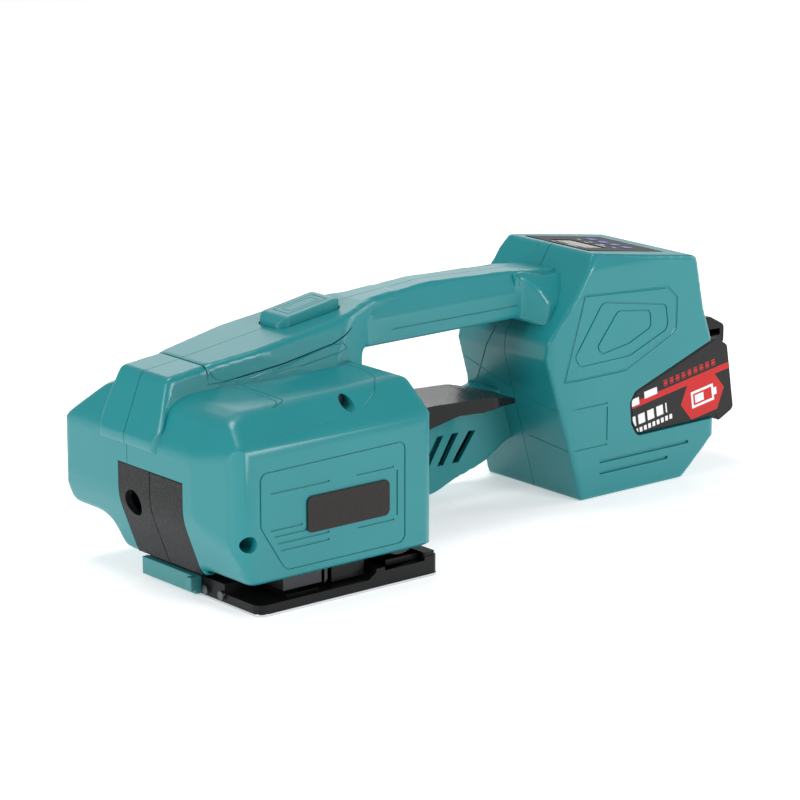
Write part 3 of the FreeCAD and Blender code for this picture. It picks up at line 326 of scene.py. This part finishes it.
print(len(finishes), "finishes so far")

# %% Circuit boards
def board(name):
    """Green solder mask over copper tracks."""
    made = Finish(name, (0.01, 0.10, 0.035), 0.35, coat=0.3)
    tracks = made.x.wave(0.0024) * made.z.wave(0.0031)
    tracks = (tracks + made.noise(0.006, 1.0)) > 1.0
    made.surface({"Base Color": made.blend(tracks, (0.008, 0.085, 0.03), (0.03, 0.20, 0.06)),
                  "Roughness": 0.42 - tracks * 0.12})
    made.relief(tracks, 0.2, 0.0002)
    return made


finishes["board_green"] = board("board_green")
finishes["panel_black"] = moulded("panel_black", (0.003, 0.003, 0.004), 0.45, 0.002, 0.02, gloss=0.12)
print("boards and panel")

# %% [markdown]
# ## Soft moulded edges
# A mould never gives a sharp edge: the big corners of this housing melt into one another, and the light
# runs along them in broad bands. Bevelling every edge would fight with the fine engraving. So one smooth
# skin of the whole housing is made first, from the same few volumes that the housing is built of, remeshed
# and relaxed. Then each shell keeps only what lies inside that skin. Flat faces and engraving stay as they
# are, and the corners are cut round.

# %% Small mesh tools
MM = 0.001
PLACES = {"X": lambda a, b, c: (c, a, b), "Y": lambda a, b, c: (a, c, b), "Z": lambda a, b, c: (a, b, c)}


def linked(name, mesh):
    piece = bpy.data.objects.new(name, mesh)
    bpy.context.scene.collection.objects.link(piece)
    return piece


def plain_mesh(piece):
    """Applies the modifiers of a piece and drops them."""
    shown = piece.evaluated_get(bpy.context.evaluated_depsgraph_get())
    mesh = bpy.data.meshes.new_from_object(shown)
    piece.modifiers.clear()
    piece.data = mesh
    return piece


def carve(piece, tool, operation):
    """A boolean of two closed meshes. The tool is removed afterwards."""
    cut = piece.modifiers.new("cut", "BOOLEAN")
    cut.operation = operation
    cut.solver = "MANIFOLD"
    cut.object = tool
    plain_mesh(piece)
    bpy.data.objects.remove(tool)
    return piece


def swept(name, axis, low, high, outline):
    """A closed block: an outline in millimetres swept along an axis."""
    place = PLACES[axis]
    surface = bmesh.new()
    rings = [
        [surface.verts.new(Vector(place(a, b, level)) * MM) for a, b in outline] for level in (low, high)]
    for ring in rings:
        surface.faces.new(ring)
    for index in range(len(outline)):
        nxt = (index + 1) % len(outline)
        surface.faces.new((rings[0][index], rings[0][nxt], rings[1][nxt], rings[1][index]))
    bmesh.ops.recalc_face_normals(surface, faces=surface.faces)
    mesh = bpy.data.meshes.new(name)
    surface.to_mesh(mesh)
    surface.free()
    return linked(name, mesh)


print("mesh tools ready")

# %% The volumes of the housing
# Each volume is the common part of two or three outlines, seen from the side (Y), from the front (X) and from
# above (Z), in millimetres.
VOLUMES = {
    "body": {
        "Y": [(-68, 41), (-56.5, 10.6), (-46, 10.6), (-44, 15), (52.6, 15), (52.6, 96), (-48, 94), (-59, 91),
              (-68, 73)],
        "X": [(-84, 5), (19, 5), (24, 24), (30, 27), (56, 27), (56, 71), (24, 97), (-62, 97), (-84, 80)],
        "Z": [(-68, -52), (-64.5, -84), (52.6, -84), (52.6, 56), (-68, 56)]},
    "hood": {
        "Y": [(-70, 69), (-30, 60), (-30, 104.2), (-36, 105), (-58.5, 102.3), (-70, 73)],
        "X": [(-28, 60), (25, 60), (25, 72), (17, 110), (-19.5, 110), (-28, 72)],
        "Z": [(-70, -26), (-30, -26), (-30, 22), (-70, 22)]},
    "neck": {
        "Y": [(-40, 75), (62, 75), (62, 97), (90, 97.5), (90, 122.3), (66, 120.3), (-35.6, 105.4),
              (-36.6, 103.4), (-40, 103)],
        "X": [(-35, 75), (33, 75), (24.6, 112), (18, 126), (-18, 126), (-24.6, 112)],
        "Z": [(-40, -21.5), (-34, -21.8), (10, -28.5), (34, -30), (74, -12), (90, -12), (90, 12), (74, 12),
              (34, 28), (10, 26), (-34, 19.5), (-40, 19.2)]},
    "handle": {
        "Y": [(60, 97), (170, 97.5), (196, 93), (196, 119), (168, 121.5), (110, 123.5), (60, 119.2)],
        "X": [(-15, 92), (15, 92), (15, 112), (9, 124.5), (-9, 124.5), (-15, 112)]},
    "collar": {
        "Y": [(164, 98), (172, 94.2), (200, 92), (200, 118), (184, 117.5), (169, 121), (164, 120)],
        "X": [(-25.6, 91), (25.6, 91), (24.8, 105), (20.6, 113), (13, 121), (-13, 121), (-20.6, 113),
              (-24.8, 105)],
        "Z": [(164, -14), (168.4, -15.4), (176.5, -24.8), (200, -25.6), (200, 25.6), (176.5, 24.8),
              (168.4, 15.4), (164, 14)]},
    "box": {
        "Y": [(191.2, 0), (264.6, 0), (287.6, 20), (287.6, 66), (284.7, 72), (278.2, 90), (272, 119.5),
              (200.5, 129.6), (186.5, 108.5), (170.2, 87), (169.2, 77.5)],
        "X": [(-36, -5), (37.5, -5), (37.5, 90), (36, 122), (32, 132), (-32, 132), (-36, 122)],
        "Z": [(160, -20), (171, -33.8), (190, -36.2), (289, -36), (289, 37.5), (160, 37.5)]},
    "arm": {
        "Y": [(44, 18), (60, 4), (136, 2), (168, 14.5), (196, 36), (196, 58), (150, 47), (100, 50), (44, 54)],
        "Z": [(44, 16.5), (150, 16.5), (184, 10), (196, 10), (196, 34), (150, 38), (44, 42)]},
}
REACH = {"X": (-90, 310), "Y": (-95, 65), "Z": (-10, 140)}
UNDER_LIP = [(-90, -90), (-40, -90), (-40, -46.5), (-90, -46.5)]
UNDER_LIP_LEVELS = (-5, 15)


def volume(name):
    """The common part of a volume's outlines."""
    views = [swept(name + axis, axis, *REACH[axis], outline) for axis, outline in VOLUMES[name].items()]
    for other in views[1:]:
        carve(views[0], other, "INTERSECT")
    return views[0]


volumes = {name: volume(name) for name in VOLUMES}
carve(volumes["body"], swept("under_lip", "Z", *UNDER_LIP_LEVELS, UNDER_LIP), "DIFFERENCE")
print({name: len(piece.data.vertices) for name, piece in volumes.items()})

# %% One relaxed skin over all of them
VOXEL = 1.1 * MM
RELAX_STEPS = 17
FIRST_STEPS = {"body": 60, "hood": 14, "neck": 14}
CLEARANCE = 0.10 * MM
SEAM_DEPTH = 0.9 * MM
SEAM_HALF_MM = 0.17
SEAM_OUTLINE = [(-90, -10), (310, -10), (310, 140), (-90, 140)]


def relaxed_skin(pieces, steps, swell):
    """All volumes in one closed surface whose corners are relaxed, moved outwards by swell."""
    surface = bmesh.new()
    for piece in pieces:
        surface.from_mesh(piece.data)
    mesh = bpy.data.meshes.new("skin")
    surface.to_mesh(mesh)
    surface.free()
    skin = linked("skin", mesh)
    voxels = skin.modifiers.new("voxels", "REMESH")
    voxels.mode = "VOXEL"
    voxels.voxel_size = VOXEL
    relax = skin.modifiers.new("relax", "SMOOTH")
    relax.factor = 0.5
    relax.iterations = steps
    grow = skin.modifiers.new("grow", "DISPLACE")
    grow.mid_level = 0
    grow.strength = swell
    return plain_mesh(skin)


for name, steps in FIRST_STEPS.items():
    softer = relaxed_skin([volumes[name]], steps, 0)
    bpy.data.objects.remove(volumes[name])
    volumes[name] = softer
skin = relaxed_skin(volumes.values(), RELAX_STEPS, CLEARANCE)
core = relaxed_skin(volumes.values(), RELAX_STEPS, -SEAM_DEPTH)
for piece in volumes.values():
    bpy.data.objects.remove(piece)
seam = swept("seam", "Y", -SEAM_HALF_MM, SEAM_HALF_MM, SEAM_OUTLINE)
carve(seam, core, "DIFFERENCE")
print("skin has", len(skin.data.polygons), "faces")

# %% [markdown]
# ## Engraved lines
# The fine lines on the shells follow the surface they are cut into. A Geometry Nodes tree takes a polyline,
# shoots it onto the skin along one direction and sweeps a small circle along it. The tube is then cut out
# of the shell.

# %% The engraving tree
def group_node(tree, kind, settings, inputs):
    """One node of a geometry tree: type, then settings, then the values or links of its sockets."""
    node = tree.nodes.new(kind)
    for key, value in settings.items():
        setattr(node, key, value)
    for key, value in inputs.items():
        if isinstance(value, bpy.types.NodeSocket):
            tree.links.new(value, node.inputs[key])
        else:
            node.inputs[key].default_value = value
    return node


def new_tree(name, sockets):
    """A geometry tree with named inputs, and its input node."""
    tree = bpy.data.node_groups.new(name, "GeometryNodeTree")
    tree.interface.new_socket("Geometry", in_out="OUTPUT", socket_type="NodeSocketGeometry")
    tree.interface.new_socket("Geometry", in_out="INPUT", socket_type="NodeSocketGeometry")
    for label, kind in sockets:
        tree.interface.new_socket(label, in_out="INPUT", socket_type=kind)
    return tree, tree.nodes.new("NodeGroupInput")


def end_tree(tree, geometry, material):
    """Realize Instances, then Set Material, then the output."""
    real = group_node(tree, "GeometryNodeRealizeInstances", {}, {"Geometry": geometry})
    coloured = group_node(
        tree, "GeometryNodeSetMaterial", {}, {"Geometry": real.outputs[0], "Material": material})
    group_node(tree, "NodeGroupOutput", {}, {"Geometry": coloured.outputs[0]})


def run_tree(piece, tree, values):
    """Adds the tree to a piece, sets its inputs by identifier, and turns the result into a plain mesh."""
    grown = piece.modifiers.new(tree.name, "NODES")
    grown.node_group = tree
    for item in tree.interface.items_tree:
        if item.in_out == "INPUT" and item.name in values:
            grown[item.identifier] = values[item.name]
    return plain_mesh(piece)


engraver, given = new_tree("engraver", [
    ("Skin", "NodeSocketObject"), ("Direction", "NodeSocketVector"), ("Line radius", "NodeSocketFloat"),
    ("Step", "NodeSocketFloat"), ("Finish", "NodeSocketMaterial")])
line = group_node(engraver, "GeometryNodeMeshToCurve", {}, {0: given.outputs["Geometry"]})
dense = group_node(
    engraver, "GeometryNodeResampleCurve", {"mode": "LENGTH"},
    {"Curve": line.outputs[0], "Length": given.outputs["Step"]})
target = group_node(
    engraver, "GeometryNodeObjectInfo", {"transform_space": "RELATIVE"}, {"Object": given.outputs["Skin"]})
shot = group_node(
    engraver, "GeometryNodeRaycast", {},
    {"Target Geometry": target.outputs["Geometry"], "Ray Direction": given.outputs["Direction"],
     "Ray Length": 1.0})
landed = group_node(
    engraver, "GeometryNodeSetPosition", {},
    {"Geometry": dense.outputs[0], "Selection": shot.outputs["Is Hit"],
     "Position": shot.outputs["Hit Position"]})
ring = group_node(
    engraver, "GeometryNodeCurvePrimitiveCircle", {},
    {"Resolution": 8, "Radius": given.outputs["Line radius"]})
tube = group_node(
    engraver, "GeometryNodeCurveToMesh", {},
    {"Curve": landed.outputs[0], "Profile Curve": ring.outputs[0], "Fill Caps": True})
end_tree(engraver, tube.outputs[0], given.outputs["Finish"])
print(len(engraver.nodes), "nodes in the engraver")

# %% Lines on the housing
# Each line: the direction it is shot in, whether it closes, its half width in millimetres, and its points in
# the plane across that direction.
LINE_STEP = 1.2 * MM
LINES = [
    ("+Y", True, 0.42, [(-31, 93.4), (32, 105.3), (41.8, 105.7), (45.7, 102.4)]),
    ("+Y", True, 0.75, [(192, 109), (250.7, 105.4), (257.4, 99.1), (257.2, 82.5), (253.6, 79.8), (221, 65.6),
                        (179.7, 65.3)]),
    ("-Z", False, 0.5, [(-36.1, -23), (-36.1, 21)]),
    ("+Y", False, 0.45, [(-36.1, 105), (-35.2, 102.6), (-31.6, 98.2), (-27.5, 96.8), (-20, 97.2)]),
    ("+Y", False, 0.42, [(163, 113), (165.6, 114.4), (166.8, 117.2), (165.6, 120)]),
    ("+Y", False, 0.42, [(163.6, 104.5), (167.2, 103.4), (168.8, 100.6), (168.2, 98.4)]),
    ("-Z", False, 0.35, [(-48, -78), (-8, -78)]),
    ("-Z", False, 0.35, [(17, -74), (27, -69), (36, -58), (41, -44), (41, -30)]),
    ("+X", False, 0.42, [(8, 128.5), (8, 121.6)]),
    ("+X", False, 0.42, [(8.6, 92.5), (9.5, 86), (15, 76), (30, 53), (36, 44)]),
    ("+X", False, 0.35, [(-34, 50), (-12, 52.5), (12, 60), (35, 68)]),
    ("+X", False, 0.35, [(-34, 28), (-5, 31)]),
]
SHOTS = {"+X": Vector((1, 0, 0)), "+Y": Vector((0, 1, 0)), "-Z": Vector((0, 0, -1))}
STARTS = {"+X": lambda a, b: (100, a, b), "+Y": lambda a, b: (a, -120, b), "-Z": lambda a, b: (a, b, 160)}


def engraving(name, shot, closed, radius, points, target):
    """The tube of one engraved line."""
    mesh = bpy.data.meshes.new(name)
    count = len(points)
    runs = [(index, index + 1) for index in range(count - 1)] + ([(count - 1, 0)] if closed else [])
    mesh.from_pydata([Vector(STARTS[shot](*point)) * MM for point in points], runs, [])
    return run_tree(linked(name, mesh), engraver, {
        "Skin": target, "Direction": SHOTS[shot], "Line radius": radius * MM, "Step": LINE_STEP,
        "Finish": finishes["housing_teal"].material})


cutters = [engraving("line%d" % index, *row, skin) for index, row in enumerate(LINES)]
print(len(cutters), "engraved lines")

# %% [markdown]
# ## Shells and other moulded parts
# The two shells are cut by the skin, parted by the seam and engraved. Smaller parts get a plain bevel on a
# merged copy, and the thumb button gets two engraved frames after it.

# %% A merged copy of a solid part
MERGE = 2e-6
FLAT_TOLERANCE = math.radians(0.6)
CREASE = math.radians(32)


def merged_copy(node):
    """The part's loose triangles joined into one surface with large flat faces."""
    mesh = bpy.data.meshes.new(node + "_moulded")
    surface = bmesh.new()
    surface.from_mesh(frame["nodes"][node].data)
    bmesh.ops.remove_doubles(surface, verts=surface.verts, dist=MERGE)
    bmesh.ops.dissolve_limit(surface, angle_limit=FLAT_TOLERANCE, verts=surface.verts, edges=surface.edges)
    surface.to_mesh(mesh)
    surface.free()
    return linked(node + "_moulded", mesh)


def smooth_shading(piece):
    """Smooth shading with weighted normals, parted at real creases."""
    surface = bmesh.new()
    surface.from_mesh(piece.data)
    for face in surface.faces:
        face.smooth = True
    for edge in surface.edges:
        edge.smooth = len(edge.link_faces) == 2 and edge.calc_face_angle(0) < CREASE
    surface.to_mesh(piece.data)
    surface.free()
    normals = piece.modifiers.new("normals", "WEIGHTED_NORMAL")
    normals.keep_sharp = True
    return plain_mesh(piece)


def dress(piece, slot):
    """Gives a piece its finish and its material slot."""
    piece.data.materials.clear()
    piece.data.materials.append(finishes[slot].material)


def stand_for(piece, node):
    """The finished piece takes the solid's place."""
    dress(piece, SLOT_OF[node])
    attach(piece, BODY_OF[node])
    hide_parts(node)
    return piece


print("ready to mould")

# %% The two shells
def duplicate(piece):
    return linked(piece.name + "_tool", piece.data.copy())


for node in ("right_housing", "left_housing"):
    shell = merged_copy(node)
    carve(shell, duplicate(skin), "INTERSECT")
    carve(shell, duplicate(seam), "DIFFERENCE")
    for cutter in cutters:
        carve(shell, duplicate(cutter), "DIFFERENCE")
    stand_for(smooth_shading(shell), node)
    print(node, len(shell.data.polygons), "faces")
for tool in cutters + [seam, skin]:
    bpy.data.objects.remove(tool)

# %% Smaller moulded parts
# Edge widths in millimetres. A frame's row is like a row of LINES.
SOFT_EDGES = {
    "squeeze_lever": 1.2, "thumb_button": 1.3, "right_nose_guard": 0.4, "left_nose_guard": 0.4,
    "badge_plate": 0.3, "base_plate": 0.6, "wear_plate": 0.2, "strap_guide_bracket": 0.5,
    "battery_lower_case": 0.8, "battery_upper_case": 0.8, "battery_latch": 0.5, "display_panel": 0.3}
BEVEL_FROM = math.radians(28)


def bevelled(piece, width):
    """Rounds the edges of a piece where its faces meet at an angle."""
    edge = piece.modifiers.new("edge", "BEVEL")
    edge.width = width * MM
    edge.segments = 3
    edge.limit_method = "ANGLE"
    edge.angle_limit = BEVEL_FROM
    return plain_mesh(piece)


FRAMES = [("-Z", True, 0.3, [(24.5, -6), (48, -6), (48, 6), (24.5, 6)]),
          ("-Z", True, 0.25, [(27.5, -3.6), (45, -3.6), (45, 3.6), (27.5, 3.6)])]
for node, width in SOFT_EDGES.items():
    made = bevelled(merged_copy(node), width)
    if node == "thumb_button":
        for index, row in enumerate(FRAMES):
            carve(made, engraving("button_frame%d" % index, *row, made), "DIFFERENCE")
    stand_for(smooth_shading(made), node)
    print(node, len(made.data.polygons), "faces")

# %% [markdown]
# ## Springs
# A compression spring has one end on each of two bodies, so its turns close up as they near each other. Here
# each spring is a smooth-shaded copy of its solid that stays where it stands and takes its finish.

# %% Springs between two bodies
# Each spring: the body at its still end, the body that presses it, and its two ends in millimetres.
SPRINGS = {
    "rocker_return_spring": ("tool", "rocker", (40, -42, 87.3), (40, -42, 57.7)),
    "thumb_button_spring": ("tool", "button", (34, 0, 100.6), (34, 0, 103.6)),
    "latch_springs": ("battery", "latch", (292, 0, 69.2), (292, 0, 71.4))}
for node, (still, moving, start, end) in SPRINGS.items():
    spring = smooth_shading(merged_copy(node))
    dress(spring, SLOT_OF[node])
    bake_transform(spring)
    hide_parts(node)
print(len(SPRINGS), "springs")

# %% [markdown]
# ## Printed label and screen
# The pack carries a film label. Its print here is generic: a slanted red band, a hexagon with a battery
# sign, and rows of plain blocks. Since the label is flat, its print is worked out from the place alone, in
# axes that lean with the band.

# %% Label print
LABEL_MIDDLE = (0.279, 0.042)
LABEL_LEAN = math.radians(9)
RED = (0.50, 0.010, 0.010)
WHITE = (0.75, 0.75, 0.74)
FILM = (0.006, 0.0055, 0.0055)


def within(value, middle, half):
    """One where the value is within half of the middle."""
    return abs(value - middle * MM) < half * MM


def block(u, v, centre, halves):
    """One inside a rectangle."""
    return within(u, centre[0], halves[0]) * within(v, centre[1], halves[1])


def printed_label(name):
    """The film's print, with u along the band and v across it, from the hexagon's middle."""
    made = moulded(name, FILM, 0.34, 0.002, 0.02, gloss=0.3)
    lean_x, lean_z = math.cos(LABEL_LEAN), math.sin(LABEL_LEAN)
    across = made.x - LABEL_MIDDLE[0]
    up = made.z - LABEL_MIDDLE[1]
    u = across * lean_x + up * lean_z
    v = up * lean_x - across * lean_z
    hexagon = (abs(v) < 10.4 * MM) * ((abs(u) + abs(v) * 0.62) < 16 * MM)
    band = within(v, 11, 1.7)
    ticks = (u.wave(4.4 * MM) > -0.35) * block(u, v, (-8, 15.8), (20, 1.7)) * (v.wave(1.9 * MM) > -0.75)
    tiles = (u.wave(6.6 * MM) > -0.62) * block(u, v, (-39.4, 2.2), (13.2, 2.7))
    words = (u.wave(3.1 * MM) > -0.4) * block(u, v, (-38, -3.6), (15, 1.3))
    chips = block(u, v, (-36.4, 13.8), (4.6, 1.9)) + block(u, v, (-48.2, 12.4), (3.2, 2.0))
    rim = block(u, v, (0, 0), (8.2, 4.6)) - block(u, v, (0, 0), (6.8, 3.2))
    sign = rim + block(u, v, (9.3, 0), (1.1, 2.0))
    level = block(u, v, (-2.4, 0), (3.2, 2.2))
    ground = made.blend(hexagon.either(band).either(ticks), FILM, RED)
    made.surface({"Base Color": made.over((tiles + words + chips + sign + level) > 0.5, ground, WHITE)})
    return made


finishes["label_print"] = printed_label("label_print")
print("label print ready")

# %% Screen
def screen(name):
    """A pale reflective screen with a few dark bars for digits."""
    made = Finish(name, (0.34, 0.33, 0.30), 0.35, gloss=0.2)
    digits = (made.y.wave(5.2 * MM) > -0.2) * (made.x.wave(3.4 * MM) > 0.3)
    made.surface({"Base Color": made.blend(digits * 0.8, (0.46, 0.44, 0.40), (0.10, 0.10, 0.10))})
    return made


finishes["lcd_glass"] = screen("lcd_glass")
print("screen ready")

# %% [markdown]
# ## Marks on the display panel
# Beside the screen and the keys the overlay has small white legends. They are plain bars here, set out by a
# tree that puts one thin bar on each point.

# %% The legend tree
legend_tree, given = new_tree("legends", [("Bar", "NodeSocketVector"), ("Turn", "NodeSocketVector"),
                                          ("Finish", "NodeSocketMaterial")])
bar = group_node(legend_tree, "GeometryNodeMeshCube", {}, {"Size": given.outputs["Bar"]})
spots = group_node(legend_tree, "GeometryNodeMeshToPoints", {}, {"Mesh": given.outputs["Geometry"]})
placed = group_node(
    legend_tree, "GeometryNodeInstanceOnPoints", {},
    {"Points": spots.outputs[0], "Instance": bar.outputs[0], "Rotation": given.outputs["Turn"]})
end_tree(legend_tree, placed.outputs[0], given.outputs["Finish"])
finishes["legend_white"] = moulded("legend_white", (0.72, 0.73, 0.74), 0.5, 0.001, 0.02)

PANEL_TOP = (200.5, 129.6)
PANEL_END = (272, 119.5)
SLOPE = math.atan2(PANEL_TOP[1] - PANEL_END[1], PANEL_END[0] - PANEL_TOP[0])
LEGEND_LIFT = 0.02


def on_panel(along, across):
    """A point just over the sloping panel: millimetres from its upper edge, and sideways."""
    low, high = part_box("display_panel")
    fall = along * MM
    return Vector((
        low.x + fall * math.cos(SLOPE), across * MM, high.z - fall * math.sin(SLOPE) + LEGEND_LIFT * MM))


# Each row of bars: its points on the panel, and the size of one bar, in millimetres.
ROWS = {
    "legend_wide": ([(4, -8.5), (24.5, -8)], (1.2, 7, 0.1)),
    "legend_small": (
        [(4, 6), (24.5, 3), (28.5, -14), (28.5, -5), (28.5, 4), (28.5, 13)], (0.9, 2.6, 0.1))}
for name, (spots_mm, size) in ROWS.items():
    mesh = bpy.data.meshes.new(name)
    mesh.from_pydata([on_panel(along, across) for along, across in spots_mm], [], [])
    legend = run_tree(linked(name, mesh), legend_tree, {
        "Bar": Vector(size) * MM, "Turn": Vector((0, SLOPE, 0)), "Finish": finishes["legend_white"].material})
    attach(legend, "tool")
    print(name, len(legend.data.polygons), "faces")

# %% [markdown]
# ## Remaining parts
# Gears, shafts, springs and boards keep their exact solids. Each one only takes its finish.

# %% Finish the carried-over solids
kept = [node for node, solid in frame["nodes"].items() if not solid.hide_render]
for node in kept:
    dress(frame["nodes"][node], SLOT_OF[node])
print(len(kept), "solids dressed")

# %% [markdown]
# ## Floor
# The floor is one wide sheet, large enough to fill the picture behind the tool, with a faint unevenness.

# %% Floor sheet
FLOOR_HALF = 9.0
PAPER_GLOW = 0.42
bpy.ops.mesh.primitive_plane_add(size=2 * FLOOR_HALF, location=(0, 0, 0))
floor = bpy.context.object
floor.name = "floor"
paper = Finish("studio_paper", (0.86, 0.86, 0.86), 0.8)
paper.surface({"Base Color": paper.blend(paper.noise(0.5, 2.0), (0.85, 0.855, 0.86), (0.88, 0.88, 0.88)),
               "Emission Color": (1, 1, 1, 1), "Emission Strength": PAPER_GLOW})
floor.data.materials.append(paper.material)
print("floor is", 2 * FLOOR_HALF, "m wide")
